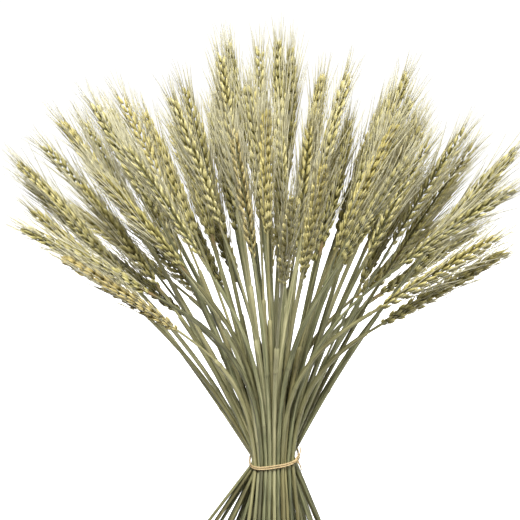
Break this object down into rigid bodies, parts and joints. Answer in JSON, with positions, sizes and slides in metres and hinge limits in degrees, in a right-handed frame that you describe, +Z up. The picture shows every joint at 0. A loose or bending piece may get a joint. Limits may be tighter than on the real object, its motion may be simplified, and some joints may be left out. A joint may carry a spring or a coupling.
{
  "type": "tied bunch of dried wheat ears",
  "caption": "Fan-shaped bunch of dried bearded wheat, its long stems gathered and tied near the foot with twine, standing on level-cut stem ends.",
  "frame": {"origin": "on the surface the bunch stands on, under the middle of its box", "axes": "+Z up along the bunch, +X to the right as pictured, front towards -Y"},
  "size_m": [0.4268, 0.3524, 0.4436],
  "materials": {
    "straw": "matt dried straw and husk, grey-green stems under pale yellow-green ears",
    "twine": "matt raffia-like plant twine"
  },
  "bodies": {
    "root": {"stalks_01": "straw", "stalks_02": "straw", "stalks_03": "straw", "stalks_04": "straw", "stalks_05": "straw", "stalks_06": "straw", "stalks_07": "straw", "stalks_08": "straw", "stalks_09": "straw", "stalks_10": "straw", "stalks_11": "straw", "stalks_12": "straw", "stalks_13": "straw", "stalks_14": "straw", "stalks_15": "straw", "stalks_16": "straw", "stalks_17": "straw", "stalks_18": "straw", "stalks_19": "straw", "stalks_20": "straw", "stalks_21": "straw", "stalks_22": "straw", "stalks_23": "straw", "stalks_24": "straw", "stalks_25": "straw", "stalks_26": "straw", "stalks_27": "straw", "stalks_28": "straw", "stalks_29": "straw", "stalks_30": "straw", "stalks_31": "straw", "stalks_32": "straw", "stalks_33": "straw", "stalks_34": "straw", "stalks_35": "straw", "stalks_36": "straw", "stalks_37": "straw", "stalks_38": "straw", "stalks_39": "straw", "tie": "twine"}
  },
  "joints": []
}
